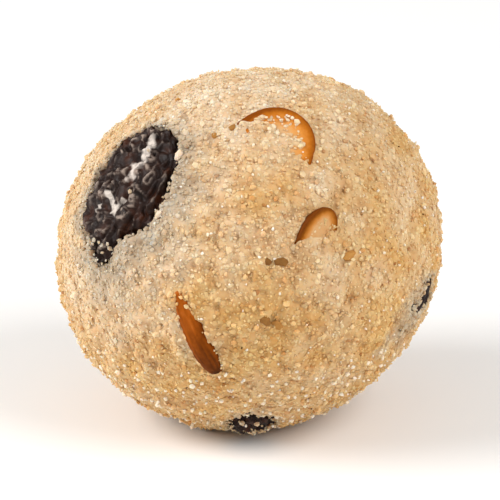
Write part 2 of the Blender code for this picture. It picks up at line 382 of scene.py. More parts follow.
# Colours from the least to the most roasted, where the crumb is chalky and where it is golden.
PALE_GRAIN = [(0.0, "#eedcc4"), (0.40, "#dfc3a1"), (0.70, "#cdaa84"), (1.0, "#ad8660")]
GOLDEN_GRAIN = [(0.0, "#e6c38a"), (0.40, "#d5a465"), (0.70, "#be8543"), (1.0, "#925c2b")]
PALE_CRUMB = [(0.0, "#e6d1b5"), (0.6, "#d1b18d"), (1.0, "#b29069")]
GOLDEN_CRUMB = [(0.0, "#dbb57b"), (0.6, "#c49252"), (1.0, "#9e6b37")]
SUGAR = [(0.0, "#f5e6d0"), (0.7, "#efdabd"), (1.0, "#f1d7bc")]
# What a raisin's juice does to the colour of semolina, and the little that it does to sugar.
RAISIN_JUICE = "#c6cbd2"
SUGAR_JUICE = "#f2f2f4"
# How each kind of crumb looks, with the size of its mottling and its least and most roughness.
Look = namedtuple("Look", "pale golden mottle_size roughness juice")
LOOKS = {
    "semolina_crumb": Look(PALE_CRUMB, GOLDEN_CRUMB, 0.50 * MM, (0.60, 0.85), RAISIN_JUICE),
    "semolina_grain": Look(PALE_GRAIN, GOLDEN_GRAIN, 0.30 * MM, (0.50, 0.75), RAISIN_JUICE),
    "semolina_flour": Look(PALE_CRUMB, GOLDEN_GRAIN, 0.25 * MM, (0.55, 0.80), RAISIN_JUICE),
    # Sugar that didn't melt: whitish crystals with smooth faces that glint.
    "sugar_crystal": Look(SUGAR, SUGAR, 0.25 * MM, (0.15, 0.30), SUGAR_JUICE),
}
# How much of the light goes into a grain, how deep, and its colour there.
GLOW = {"Subsurface_Weight": 0.38, "Subsurface_Scale": 0.8 * MM, "Subsurface_Radius": (1.0, 0.62, 0.34)}
GRAIN_RELIEF = Relief(0.16 * MM, 0.05 * MM, 0.35, 3.0)
# How much the roast varies within a grain, and over patches of crumb.
MOTTLE_SWING = 0.18
PATCH_SWING = 0.7
PATCH_SIZE = 2.4 * MM


def semolina_finish(name):
    """Roasted semolina, bound with sugar syrup and ghee and pressed by hand.

    The grains are bits of hard wheat, a little see-through, so light goes in and softens them. Each
    took the heat differently, which gives cream, golden and tan ones side by side. Where fine flour
    was pressed to the outside the ball is chalky and pale, and where more ghee came out it is
    golden. The pale top left is partly painted sheen, and a golden patch low on the left is painted
    warm bounce light and shade. Near a raisin its juice turns the grains a greyish beige.
    """
    look = LOOKS[name]
    finish, tree, shader = new_finish(name, **GLOW, Specular_IOR_Level=0.3)
    place = add_node(tree, "ShaderNodeTexCoord", "Object")
    roast, stain, gold = (
        add_node(tree, "ShaderNodeAttribute", "Fac", attribute_name=mark)
        for mark in ("roast", "stain", "gold")
    )
    mottle, patch = (
        add_node(tree, "ShaderNodeTexNoise", "Fac", {"Vector": place, "Scale": 1.0 / size, "Detail": detail})
        for size, detail in ((look.mottle_size, 3.0), (PATCH_SIZE, 2.0))
    )
    level = roast
    for varied, swing in ((mottle, MOTTLE_SWING), (patch, PATCH_SWING)):
        swung = {0: varied, 1: swing, 2: level}
        level = add_node(tree, "ShaderNodeMath", 0, swung, operation="MULTIPLY_ADD")
    middle = (MOTTLE_SWING + PATCH_SWING) / 2.0
    centred = add_node(tree, "ShaderNodeMath", 0, {0: level, 1: middle}, operation="SUBTRACT")
    chalky, buttery = (
        add_node(tree, "ShaderNodeValToRGB", "Color", {"Fac": centred}, stops)
        for stops in (look.pale, look.golden)
    )
    juicy = {"Factor": 1.0, FIRST: chalky, SECOND: linear(look.juice)}
    soaked = add_node(tree, "ShaderNodeMix", MIXED, juicy, data_type="RGBA", blend_type="MULTIPLY")
    colour = chalky
    # The golden mix also carries painted sheen and warm bounce at two places on the ball.
    for share, other in ((gold, buttery), (stain, soaked)):
        mixing = {"Factor": share, FIRST: colour, SECOND: other}
        colour = add_node(tree, "ShaderNodeMix", MIXED, mixing, data_type="RGBA")
    finish_surface(tree, shader, colour, place, mottle, look.roughness, GRAIN_RELIEF)
    return finish


RAISIN_SKIN = [(0.35, "#1a0d08"), (0.55, "#28150d"), (0.75, "#44210f")]
BLOTCH_SIZE = 1.6 * MM
SUGAR_BLOOM = "#9a887b"
BLOOM_SIZE = 0.62 * MM
# The bloom starts and is full at these values of its noise, and the dried syrup with its painted highlight
# likewise.
BLOOM_FROM = 0.42
BLOOM_FULL = 0.58
# Pale streaks on the large raisin: dried syrup, and a painted highlight of the lamp on its ridges.
SYRUP_AND_PAINTED_HIGHLIGHT = "#dccfc3"
SYRUP_AND_HIGHLIGHT_FROM = 0.15
SYRUP_AND_HIGHLIGHT_FULL = 0.52
SYRUP_AND_HIGHLIGHT_MOST = 0.88
RAISIN_ROUGHNESS = (0.40, 0.62)
RAISIN_RELIEF = Relief(0.35 * MM, 0.08 * MM, 0.5, 4.0)


def raisin_finish():
    """Black raisin skin, sun-dried: nearly black brown, with dried syrup and painted highlights on some
    folds.

    The skin is a thin leathery film over sticky flesh. A dull bloom of dry sugar greys its ridges,
    and between them it is bare and dark with a soft shine, which is partly painted shade in the
    creases. Where it dives into the crumb it is kept bare and dark as painted shade. Thin places
    show the red-brown flesh.
    """
    finish, tree, shader = new_finish("raisin_dried_skin", Specular_IOR_Level=0.18)
    place = add_node(tree, "ShaderNodeTexCoord", "Object")
    crease_and_painted_shade, syrup = (
        add_node(tree, "ShaderNodeAttribute", "Fac", attribute_name=mark) for mark in ("crease_and_painted_shade", "syrup")
    )
    blotch, dust = (
        add_node(tree, "ShaderNodeTexNoise", "Fac", {"Vector": place, "Scale": 1.0 / size, "Detail": detail})
        for size, detail in ((BLOTCH_SIZE, 4.0), (BLOOM_SIZE, 2.0))
    )
    # Bloom greys only the ridges. The bare, dark creases and rim are partly painted shade.
    ridge = add_node(tree, "ShaderNodeMath", 0, {0: 1.0, 1: crease_and_painted_shade}, operation="SUBTRACT")
    levels = {"Value": dust, "From Min": BLOOM_FROM, "From Max": BLOOM_FULL}
    dusty = add_node(tree, "ShaderNodeMapRange", "Result", levels)
    bloom = add_node(tree, "ShaderNodeMath", 0, {0: dusty, 1: ridge}, operation="MULTIPLY")
    # Pale streaks that are dried syrup and painted highlight, where the syrup mark is.
    patchy = add_node(tree, "ShaderNodeMath", 0, {0: dust, 1: syrup}, operation="MULTIPLY")
    levels = {"Value": patchy, "From Min": SYRUP_AND_HIGHLIGHT_FROM, "From Max": SYRUP_AND_HIGHLIGHT_FULL, "To Max": SYRUP_AND_HIGHLIGHT_MOST}
    sugar = add_node(tree, "ShaderNodeMapRange", "Result", levels)
    colour = add_node(tree, "ShaderNodeValToRGB", "Color", {"Fac": blotch}, RAISIN_SKIN)
    for share, other in ((bloom, SUGAR_BLOOM), (sugar, SYRUP_AND_PAINTED_HIGHLIGHT)):
        mixing = {"Factor": share, FIRST: colour, SECOND: linear(other)}
        colour = add_node(tree, "ShaderNodeMix", MIXED, mixing, data_type="RGBA")
    finish_surface(tree, shader, colour, place, dust, RAISIN_ROUGHNESS, RAISIN_RELIEF)
    return finish


# Almond colours, from plain flesh (0) to brown skin (1): a slice, and one that got more heat.
SLICE = [(0.0, "#cfa576"), (0.25, "#d19656"), (0.50, "#cd8336"), (0.75, "#ae6213"), (1.0, "#803f04")]
DARKER_SLICE = [(0.0, "#cb9c69"), (0.25, "#c6894b"), (0.50, "#b57029"), (0.75, "#864806"), (1.0, "#6a3302")]
# A sliver with skin all round, one without any, and broken chips.
SKIN_ONLY = [(0.0, "#b9692a"), (0.30, "#9e4e09"), (0.60, "#783800"), (1.0, "#462000")]
FLESH_ONLY = [(0.0, "#f0d9b0"), (1.0, "#dcb77e")]
CHIPS_OF_BOTH = [(0.0, "#dbb07a"), (0.50, "#c08a48"), (1.0, "#7d5429")]
# Ground cardamom seed, which is as dull and fibrous as almond skin: dark brown specks.
CARDAMOM = [(0.0, "#7a5a32"), (1.0, "#553a1c")]
SKIN_SWING = 0.30
SKIN_STREAK_SIZE = 0.45 * MM
WAXY = {"Subsurface_Weight": 0.06, "Subsurface_Scale": 0.4 * MM, "Subsurface_Radius": (1.0, 0.5, 0.25)}
ALMOND_ROUGHNESS = (0.50, 0.70)
ALMOND_RELIEF = Relief(0.22 * MM, 0.06 * MM, 0.4, 3.0)


def almond_finish(name, stops):
    """Almond, cut with its brown skin on and turned in hot ghee.

    The flesh is creamy and a little waxy. Next to the skin it takes the skin's tan, and the skin
    itself is a thin brown papery film with fine grooves.
    """
    finish, tree, shader = new_finish(name, **WAXY, Specular_IOR_Level=0.07)
    place = add_node(tree, "ShaderNodeTexCoord", "Object")
    skin = add_node(tree, "ShaderNodeAttribute", "Fac", attribute_name="skin")
    grooves = {"Vector": place, "Scale": 1.0 / SKIN_STREAK_SIZE, "Detail": 4.0}
    streak = add_node(tree, "ShaderNodeTexNoise", "Fac", grooves)
    streaked = {0: streak, 1: SKIN_SWING, 2: skin}
    varied = add_node(tree, "ShaderNodeMath", 0, streaked, operation="MULTIPLY_ADD")
    centred = add_node(tree, "ShaderNodeMath", 0, {0: varied, 1: SKIN_SWING / 2.0}, operation="SUBTRACT")
    colour = add_node(tree, "ShaderNodeValToRGB", "Color", {"Fac": centred}, stops)
    finish_surface(tree, shader, colour, place, streak, ALMOND_ROUGHNESS, ALMOND_RELIEF)
    return finish


# ---- scattering

SEEDS = {"core": 10, "grains": 11, "fines": 12, "bits": 13, "sugar": 14}
GOLDEN_ANGLE = math.pi * (3.0 - math.sqrt(5.0))


def spiral_ways(count, draw, shift):
    """Directions spread evenly round the ball by a spiral, then shifted at random."""
    index = np.arange(count)
    height = 1.0 - (2.0 * index + 1.0) / count
    flat = np.sqrt(1.0 - height * height)
    turn = index * GOLDEN_ANGLE
    ways = np.stack((flat * np.cos(turn), flat * np.sin(turn), height), axis=1)
    spacing = math.sqrt(4.0 * math.pi / count)
    return normalized(ways + draw.uniform(-1.0, 1.0, ways.shape) * spacing * shift)


def random_turns(count, draw):
    """Random rotation matrices, one for each grain."""
    w, x, y, z = normalized(draw.normal(size=(count, 4))).T
    rows = (
        (1 - 2 * (y * y + z * z), 2 * (x * y - z * w), 2 * (x * z + y * w)),
        (2 * (x * y + z * w), 1 - 2 * (x * x + z * z), 2 * (y * z - x * w)),
        (2 * (x * z - y * w), 2 * (y * z + x * w), 1 - 2 * (x * x + y * y)),
    )
    return np.moveaxis(np.array(rows), 2, 0)


STONES = {"flour": octahedron(), "grain": split_sphere(1)}
# How far a stone's corners are from its middle, in half sizes.
CORNER_SPREAD = (0.82, 1.18)
# Planes break chips off this far from its middle. The palm's is the last, and misses a proud stone.
CHIPS = 3
CHIP_AT = 0.62
PRESSED_AT = 0.42
UNPRESSED_AT = 2.0
PRESSED_TILT = 0.35


def cut_flat(places, facing, distance):
    """Brings the points beyond a plane back onto it, one plane for each stone."""
    beyond = np.maximum(0.0, np.einsum("nvi,ni->nv", places, facing) - distance[:, None])
    return places - beyond[..., None] * facing[:, None, :]


Grains = namedtuple("Grains", "centres ups half_sizes proud roast skin")


def chipped_stones(draw, grains, stretch, shape="grain"):
    """Little stones with broken faces. Those that aren't proud have a flat top, pressed by the palm."""
    base, faces = STONES[shape]
    count = len(grains.centres)
    places = base[None] * draw.uniform(*CORNER_SPREAD, (count, len(base), 1))
    for _ in range(CHIPS):
        facing = normalized(draw.normal(size=(count, 3)))
        places = cut_flat(places, facing, np.full(count, CHIP_AT))
    places = places * draw.uniform(*stretch, (count, 1, 3))
    places = np.einsum("nij,nvj->nvi", random_turns(count, draw), places)
    tilted = normalized(grains.ups + draw.uniform(-PRESSED_TILT, PRESSED_TILT, (count, 3)))
    places = cut_flat(places, tilted, np.where(grains.proud, UNPRESSED_AT, PRESSED_AT))
    places = places * grains.half_sizes[:, None, None] + grains.centres[:, None, :]
    offsets = np.arange(count)[:, None, None] * len(base)
    return places.reshape(-1, 3), (faces[None] + offsets).reshape(-1, 3), len(base)


# ---- stains and tone

# The part of the right raisin that no crumb hides: its middle and half sizes in its own frame.
RIGHT_BARE_MIDDLE = np.array((0.75 * MM, 0.45 * MM))
RIGHT_BARE_HALF = np.array((2.35 * MM, 0.80 * MM))
BLANKET_MARGIN = 0.1 * MM


def blanketed(skin):
    """Where crumbs were pressed over the right raisin, so that only a slit of it shows."""
    here = RAISIN_SEATS["raisin_right"].inside(skin)
    aside = np.linalg.norm((here[:, :2] - RIGHT_BARE_MIDDLE) / RIGHT_BARE_HALF, axis=1)
    return (raisin_rise(skin, "raisin_right") > -BLANKET_MARGIN) & (aside > 1.0)


# A stain starts a little under the raisin's rim, and is full over the first fifth of its reach.
STAIN_START = -0.3 * MM
STAIN_FULL = 1.25
STAIN_ONE_SIDED = 0.42
STAIN_RAGGED = 0.8
STAIN_RAGGED_SIZE = 1.5 * MM
# For each raisin: how far its juice went, the side with more of it as a heading, and how dark.
Stain = namedtuple("Stain", "reach side most")
STAINS = {
    "raisin_left": Stain(4.8 * MM, -30.0, 0.88),
    "raisin_right": Stain(2.4 * MM, 190.0, 0.60),
    "raisin_under": Stain(1.2 * MM, 90.0, 0.60),
}


def stain_at(points):
    """Raisin juice in the crumb: darkest at the raisin's rim, and more on one side of it."""
    most = np.zeros(len(points))
    for name, raisin in RAISINS.items():
        here = RAISIN_SEATS[name].inside(points)
        away = (raisin_oval(name, here) - 1.0) * raisin.half_sizes[1] - STAIN_START
        side = math.radians(STAINS[name].side - raisin.heading)
        facing = here[:, :2] @ np.array((math.cos(side), math.sin(side)))
        facing = facing / np.linalg.norm(here[:, :2], axis=1).clip(1e-9)
        ragged = 1.0 + STAIN_RAGGED * noise_at(points, STAIN_RAGGED_SIZE)
        reach = STAINS[name].reach * (1.0 - STAIN_ONE_SIDED + STAIN_ONE_SIDED * facing) * ragged
        amount = np.clip(STAIN_FULL * (1.0 - away / reach), 0.0, 1.0) * STAINS[name].most
        most = np.maximum(most, np.where(here[:, 2] > SAME_SIDE, amount, 0.0))
    return most


# Where the crumb is chalkier with flour (below 0) or more golden with ghee (above 0) than elsewhere. Two of
# them hold painted light, as marked.
Tone = namedtuple("Tone", "longitude latitude reach amount")
TONES = (
    # Paler top left: partly chalky flour, partly painted sheen where the light falls.
    Tone(-30.0, 72.0, 15.0 * MM, -0.725),
    Tone(-55.0, 2.0, 10.0 * MM, -0.625),
    Tone(-30.0, 22.0, 4.5 * MM, -0.25),
    Tone(25.0, 14.0, 1.9 * MM, -0.45),
    # Golden low on the left: painted warm bounce light and shade.
    Tone(-28.0, -30.0, 6.0 * MM, 0.225),
    Tone(5.0, -42.0, 8.0 * MM, -0.125),
    Tone(22.0, 60.0, 5.0 * MM, 0.15),
    Tone(44.0, 42.0, 3.5 * MM, 0.25),
    Tone(5.0, 38.0, 3.2 * MM, 0.40),
    Tone(9.0, -2.0, 3.6 * MM, 0.275),
    Tone(150.0, -20.0, 14.0 * MM, 0.175),
    Tone(-140.0, 35.0, 10.0 * MM, -0.20),
)
EVEN_GOLD = 0.82
TONE_NOISE = 0.48
TONE_NOISE_SIZE = 3.5 * MM


def gold_and_painted_light_at(points):
    """How golden the crumb is, from 0 for chalky to 1, with some painted sheen and warm bounce in it."""
    gold = EVEN_GOLD + TONE_NOISE * noise_at(points, TONE_NOISE_SIZE)
    for tone in TONES:
        way = direction(tone.longitude, tone.latitude)[None]
        middle = CENTRE + way[0] * smooth_radius(way)[0]
        away = np.linalg.norm(points - middle, axis=1) / tone.reach
        gold += tone.amount * np.exp(-(away**2))
    return gold.clip(0.0, 1.0)


# ---- the ball's core

CORE_SPLITS = 96
CORE_DEPTH = 0.14 * MM
PEBBLE_COUNT = 14000
PEBBLE_SHIFT = 0.40
PEBBLE_HALF_SIZE = 0.40 * MM
PEBBLE_HEIGHT = 0.13 * MM
PEBBLE_SWELL = (0.3, 1.0)
PEBBLE_ROAST = (0.28, 0.60)
POCKET_DEPTH = 1.4 * MM
POCKET_MARGIN = 0.25 * MM


def add_core(finish):
    """The pressed mass below the loose grains: packed grains in relief, and a pocket for each raisin."""
    draw = np.random.default_rng(SEEDS["core"])
    ways, faces = split_sphere(CORE_SPLITS)
    seeds = spiral_ways(PEBBLE_COUNT, draw, PEBBLE_SHIFT) * LONG_RADIUS
    tree = KDTree(len(seeds))
    for index, seed in enumerate(seeds):
        tree.insert(seed, index)
    tree.balance()
    found = [tree.find(way) for way in ways * LONG_RADIUS]
    nearest = np.array([hit[1] for hit in found])
    away = np.array([hit[2] for hit in found]) / PEBBLE_HALF_SIZE
    dome = np.sqrt(np.maximum(0.0, 1.0 - away**2)) * draw.uniform(*PEBBLE_SWELL, len(seeds))[nearest]
    roast = draw.uniform(*PEBBLE_ROAST, len(seeds))[nearest]
    skin = CENTRE + ways * smooth_radius(ways)[:, None]
    rise = np.max([raisin_rise(skin, name) for name in RAISINS], axis=0)
    pocket = np.clip((rise + POCKET_MARGIN) / POCKET_MARGIN, 0.0, 1.0) * POCKET_DEPTH
    height = crumb_relief(ways) + PEBBLE_HEIGHT * dome - CORE_DEPTH - pocket
    places = skin + ways * height[:, None]
    places[:, 2] = np.maximum(places[:, 2], 0.0)
    marks = {"roast": roast, "stain": stain_at(skin), "gold": gold_and_painted_light_at(skin)}
    add_piece("ladoo_core", places, faces, finish, marks, replaces=("ladoo",))


# ---- grains

GRAIN_COUNT = 22000
GRAIN_SHIFT = 0.55
GRAIN_HALF_SIZE = (0.17 * MM, 0.40 * MM)
# Above 1 there are more small grains than large ones.
GRAIN_SIZE_BIAS = 1.6
GRAIN_STRETCH = (0.72, 1.25)
PROUD_SHARE = 0.10
PROUD_RISE = (0.00 * MM, 0.16 * MM)
FLUSH_RISE = (-0.10 * MM, 0.05 * MM)
FINES_COUNT = 15000
FINES_HALF_SIZE = (0.09 * MM, 0.16 * MM)
FINES_RISE = (-0.08 * MM, 0.12 * MM)
FINES_SHIFT = 0.6
FINES_ROAST = (0.0, 0.6)
# Grains this dense over the whole ball, of which only those over the right raisin are kept.
BLANKET_COUNT = 90000
SUGAR_COUNT = 2400
SUGAR_SHIFT = 0.9
SUGAR_HALF_SIZE = (0.09 * MM, 0.20 * MM)
SUGAR_RISE = (0.02 * MM, 0.14 * MM)
# The ball was set down in loose sugar, so below this Z of a direction more and larger grains cling.
SUGAR_LOW = -0.35
SUGAR_SHARE_ABOVE = 0.30
SUGAR_GROWTH_LOW = 1.6
# The lowest that a grain's centre may be, as a share of its half size.
FLOOR_CLEARANCE = 0.9

# Crumbs cover a flake or a sliver up to this height above the skin, and a flake away from its rim.
FLAKE_BARE_ABOVE = 0.06 * MM
FLAKE_BARE_WIDTH = {"flake_top": 1.15 * MM, "flake_middle": 1.10 * MM, "flake_back": 1.7 * MM}
FLAKE_RAGGED = 0.6 * MM
FLAKE_RAGGED_SIZE = 1.0 * MM
SLIVER_BARE_ABOVE = 0.20 * MM
# The share of each raisin that stuck crumbs cover.
STUCK_SHARE = {"raisin_left": 0.008, "raisin_right": 0.0, "raisin_under": 0.20}
# More of them cling to the fine end of a raisin, from this share of its length.
FINE_END_FROM = 0.84
FINE_END_SHARE = 0.45
# Lumps of sugar with flour on them, at the large raisin's edge. They take the last sugar colour.
Lump = namedtuple("Lump", "longitude latitude half_size")
LUMPS = (Lump(-33.8, 29.8, 0.66 * MM), Lump(-32.6, 46.3, 0.60 * MM), Lump(-31.4, 27.2, 0.44 * MM))
LUMP_RISE = 0.22 * MM
LUMP_ROAST = 1.2
# The kinds of grain: their share of them all, and the least and most roast.
Kind = namedtuple("Kind", "share roast")
KINDS = {
    "semolina_light": Kind(0.30, (0.10, 0.34)),
    "semolina_pale": Kind(0.36, (0.26, 0.46)),
    "semolina_golden": Kind(0.31, (0.38, 0.62)),
    "semolina_toasted": Kind(0.03, (0.62, 0.92)),
}


def perch(skin, draw):
    """Which skin points can hold a crumb, and how far the piece below lifts it."""
    free = np.ones(len(skin), bool)
    lift = np.zeros(len(skin))
    over = blanketed(skin)
    ragged = FLAKE_RAGGED * noise_at(skin, FLAKE_RAGGED_SIZE)
    for name in RAISINS:
        rise = raisin_rise(skin, name)
        fine_end = RAISIN_SEATS[name].inside(skin)[:, 0] < -FINE_END_FROM * RAISINS[name].half_sizes[0]
        stuck = draw.uniform(size=len(skin)) < np.where(fine_end, FINE_END_SHARE, STUCK_SHARE[name])
        free &= (rise < 0.0) | stuck | over
        lift = np.maximum(lift, rise)
    for name in FLAKES:
        rise = flake_rise(skin, name)
        here = FLAKE_SEATS[name].inside(skin)
        inside = inside_rim(FLAKES[name].half_sizes, here[:, 0], here[:, 1]) + ragged
        free &= (rise < FLAKE_BARE_ABOVE) | (inside > FLAKE_BARE_WIDTH[name])
        lift = np.maximum(lift, rise)
    for name in SLIVERS:
        rise = sliver_rise(skin, name)
        free &= rise < SLIVER_BARE_ABOVE
        lift = np.maximum(lift, rise)
    return free, lift


def settle(ways, rise, half, roast, draw, proud=True):
    """Grains at the skin in these directions, without those on a bare raisin or almond."""
    skin = CENTRE + ways * smooth_radius(ways)[:, None]
    ups = outward(ways)
    free, lift = perch(skin, draw)
    relief = crumb_relief(ways)
    # Crumbs don't sink into the piece below them.
    relief = np.where(lift > 0.0, np.maximum(relief, 0.0), relief)
    height = relief + rise + lift - half * PRESSED_AT
    centres = skin + ups * height[:, None]
    free &= centres[:, 2] > half * FLOOR_CLEARANCE
    everything = Grains(centres, ups, half, np.broadcast_to(proud, len(ways)), roast, skin)
    return Grains(*(values[free] for values in everything)), free


def add_stones(name, stones, finish, marks, draw, stretch, shape="grain"):
    """A piece of many little stones. Marks have a number for each stone."""
    places, faces, points = chipped_stones(draw, stones, stretch, shape)
    places[:, 2] = np.maximum(places[:, 2], 0.0)
    marks = {mark: np.repeat(values, points) for mark, values in marks.items()}
    add_piece(name, places, faces, finish, marks, smooth=False)


def add_grains(name, grains, finish, draw, shape="grain"):
    """Stones of semolina or sugar, with what their finish reads."""
    marks = {"roast": grains.roast, "stain": stain_at(grains.skin), "gold": gold_and_painted_light_at(grains.skin)}
    add_stones(name, grains, finish, marks, draw, GRAIN_STRETCH, shape)


def add_semolina(finish):
    """The grains at the skin: most pressed flush, some standing proud, each with its own roast."""
    draw = np.random.default_rng(SEEDS["grains"])
    ways = spiral_ways(GRAIN_COUNT, draw, GRAIN_SHIFT)
    more = spiral_ways(BLANKET_COUNT, draw, GRAIN_SHIFT)
    ways = np.concatenate((ways, more[blanketed(CENTRE + more * smooth_radius(more)[:, None])]))
    count = len(ways)
    proud = draw.uniform(size=count) < PROUD_SHARE
    rise = np.where(proud, draw.uniform(*PROUD_RISE, count), draw.uniform(*FLUSH_RISE, count))
    least, most = GRAIN_HALF_SIZE
    half = least + (most - least) * draw.uniform(size=count) ** GRAIN_SIZE_BIAS
    shares = np.cumsum([kind.share for kind in KINDS.values()])
    kind_of = np.searchsorted(shares, draw.uniform(size=count) * shares[-1])
    low, high = np.array([kind.roast for kind in KINDS.values()]).T
    roast = draw.uniform(low[kind_of], high[kind_of])
    grains, free = settle(ways, rise, half, roast, draw, proud)
    for number, name in enumerate(KINDS):
        chosen = kind_of[free] == number
        add_grains(name, Grains(*(values[chosen] for values in grains)), finish, draw)


def add_fines(finish):
    """Flour and broken bits that fill the gaps between the grains."""
    draw = np.random.default_rng(SEEDS["fines"])
    ways = spiral_ways(FINES_COUNT, draw, FINES_SHIFT)
    half = draw.uniform(*FINES_HALF_SIZE, FINES_COUNT)
    rise = draw.uniform(*FINES_RISE, FINES_COUNT)
    roast = draw.uniform(*FINES_ROAST, FINES_COUNT)
    grains, _ = settle(ways, rise, half, roast, draw)
    add_grains("semolina_fines", grains, finish, draw, "flour")


def add_sugar(finish):
    """Grains of sugar that didn't melt, and the lumps at the large raisin."""
    draw = np.random.default_rng(SEEDS["sugar"])
    ways = spiral_ways(SUGAR_COUNT, draw, SUGAR_SHIFT)
    share = np.where(ways[:, 2] < SUGAR_LOW, 1.0, SUGAR_SHARE_ABOVE)
    ways = ways[draw.uniform(size=SUGAR_COUNT) < share]
    ways = np.concatenate((ways, [direction(lump.longitude, lump.latitude) for lump in LUMPS]))
    count = len(ways)
    growth = np.where(ways[:, 2] < SUGAR_LOW, SUGAR_GROWTH_LOW, 1.0)
    half = draw.uniform(*SUGAR_HALF_SIZE, count) * growth
    half[-len(LUMPS) :] = [lump.half_size for lump in LUMPS]
    rise = draw.uniform(*SUGAR_RISE, count)
    rise[-len(LUMPS) :] = LUMP_RISE
    roast = draw.uniform(0.0, 1.0, count)
    roast[-len(LUMPS) :] = LUMP_ROAST
    grains, _ = settle(ways, rise, half, roast, draw)
    add_grains("sugar_grains", grains, finish, draw)


# ---- raisins

RAISIN_SPLITS = {"raisin_left": 44, "raisin_right": 26, "raisin_under": 26}
SMALL_FOLD_DEPTH = 0.38 * MM
SMALL_FOLD_SIZE = 1.05 * MM
# Ridges run where a noise is within about this much of 0, with the small folds between them.
RIDGE_WIDTH = 0.20
FOLD_SHARE = {"raisin_left": 1.0, "raisin_right": 0.4, "raisin_under": 0.8}
# The ridges wander: a noise, read at three places, moves them in three ways.
BEND = 0.5 * MM
BEND_SIZE = 1.8 * MM
BEND_PLACES = (1.0 * MM, 5.0 * MM, 9.0 * MM)
# How bare of bloom, and so how dark, the big folds and the small ones are: partly bare skin, partly painted
# shade in the creases.
BIG_FOLD_BARE = 0.30
SMALL_FOLD_BARE = 0.92
# Painted shade: raisin skin is kept bare of bloom, and darkest, where it dives into the crumb, up to this
# height above it.
PAINTED_EDGE_SHADE = {"raisin_left": 0.60 * MM, "raisin_right": 1.6 * MM, "raisin_under": 2.4 * MM}

# Dried syrup and painted highlights on the large raisin: streaks through points in its own frame, in
# millimetres.
Streak = namedtuple("Streak", "half_width points")
SYRUP_AND_HIGHLIGHT_STREAKS = (
    Streak(0.60, ((5.06, -0.89), (4.06, -1.39), (3.15, -1.67))),
    Streak(0.68, ((2.40, -1.62), (1.91, -1.41), (1.17, -1.18))),
    Streak(0.23, ((-1.31, 1.25), (-2.02, 0.40), (-2.87, -0.67), (-3.41, -1.08))),
    Streak(0.16, ((-1.73, -1.59), (-2.57, -1.13), (-3.25, -0.86))),
    Streak(0.26, ((-3.10, 2.10), (-2.95, 2.00))),
)
SYRUP_AND_HIGHLIGHT_WOBBLE = 0.5 * MM
SYRUP_AND_HIGHLIGHT_WOBBLE_SIZE = 0.7 * MM
SYRUP_AND_HIGHLIGHT_EDGE = 1.5


def distance_to_line(points, line):
    """Distance in a plane from each point to a line through some points."""
    best = np.full(len(points), FAR_AWAY)
    for start, end in zip(line[:-1], line[1:]):
        run = end - start
        share = np.clip(((points - start) @ run) / (run @ run), 0.0, 1.0)
        away = np.linalg.norm(points - start - share[:, None] * run, axis=1)
        best = np.minimum(best, away)
    return best


def syrup_and_highlight_at(oval):
    """Where the dried syrup and its painted highlights are on the large raisin, for points in its own frame.
    """
    wobble = SYRUP_AND_HIGHLIGHT_WOBBLE * noise_at(oval, SYRUP_AND_HIGHLIGHT_WOBBLE_SIZE)
    syrup = np.zeros(len(oval))
    for streak in SYRUP_AND_HIGHLIGHT_STREAKS:
        line = np.array(streak.points) * MM
        away = (distance_to_line(oval[:, :2], line) + wobble) / (streak.half_width * MM)
        syrup = np.maximum(syrup, np.clip(SYRUP_AND_HIGHLIGHT_EDGE - away, 0.0, 1.0) * (oval[:, 2] > 0.0))
    return syrup


def add_raisins(finish):
    """Each raisin fills its solid's oval, with the solid's big folds and small ones between ridges."""
    for number, (name, raisin) in enumerate(RAISINS.items()):
        ball, faces = split_sphere(RAISIN_SPLITS[name])
        sizes = np.array(raisin.half_sizes)
        rim = np.hypot(ball[:, 0], ball[:, 1])
        oval = ball * sizes
        oval[:, :2] *= raisin_swell(name, ball[:, 0], ball[:, 1], rim)[:, None]
        facing = normalized(ball / sizes)
        waves = ball * FOLD_WAVES + np.array((0.0, 0.0, FOLDS_APART * number))
        big = 1.0 - np.minimum(1.0, FOLD_SHARPNESS * np.abs(noise_at(waves, 1.0)))
        bend = np.stack([noise_at(oval + place, BEND_SIZE) for place in BEND_PLACES], axis=1)
        bent = oval + BEND * bend + number * FOLDS_APART * MM
        small = 1.0 - np.exp(-((noise_at(bent, SMALL_FOLD_SIZE) / RIDGE_WIDTH) ** 2))
        depth = (FOLD_DEPTH * big + SMALL_FOLD_DEPTH * small) * FOLD_SHARE[name]
        places = RAISIN_SEATS[name].world(oval - facing * depth[:, None])
        spokes = places - CENTRE
        stands = np.linalg.norm(spokes, axis=1) - smooth_radius(normalized(spokes))
        # Painted shade where the raisin meets the crumb, fading with the height above the skin.
        edge = np.clip(1.0 - stands / PAINTED_EDGE_SHADE[name], 0.0, 1.0)
        crease_and_painted_shade = np.clip(BIG_FOLD_BARE * big + SMALL_FOLD_BARE * small + edge, 0.0, 1.0)
        # Dried syrup and painted highlights, on the large raisin only.
        syrup = syrup_and_highlight_at(oval) if name == "raisin_left" else np.zeros(len(oval))
        marks = {"crease_and_painted_shade": crease_and_painted_shade, "syrup": syrup}
        add_piece(f"{name}_skin", places, faces, finish, marks, replaces=(name,))


# ---- almonds

FLAKE_RINGS = 26
FLAKE_STEPS = 160
FLAKE_ROUNDING = 0.16 * MM
ROUNDING_STEPS = 6
SKIN_WIDTH = {"flake_top": 0.75 * MM, "flake_middle": 0.36 * MM, "flake_back": 0.60 * MM}
TAN_WIDTH = {"flake_top": 1.9 * MM, "flake_middle": 0.8 * MM, "flake_back": 1.6 * MM}
# Skin fades by this share from the rim to where the tan flesh begins.
SKIN_FADE = 0.35
# The hot pan browned one side of a slice more than the rest.
SIDE_BROWNING = {"flake_top": 0.30, "flake_middle": 0.10, "flake_back": 0.30}
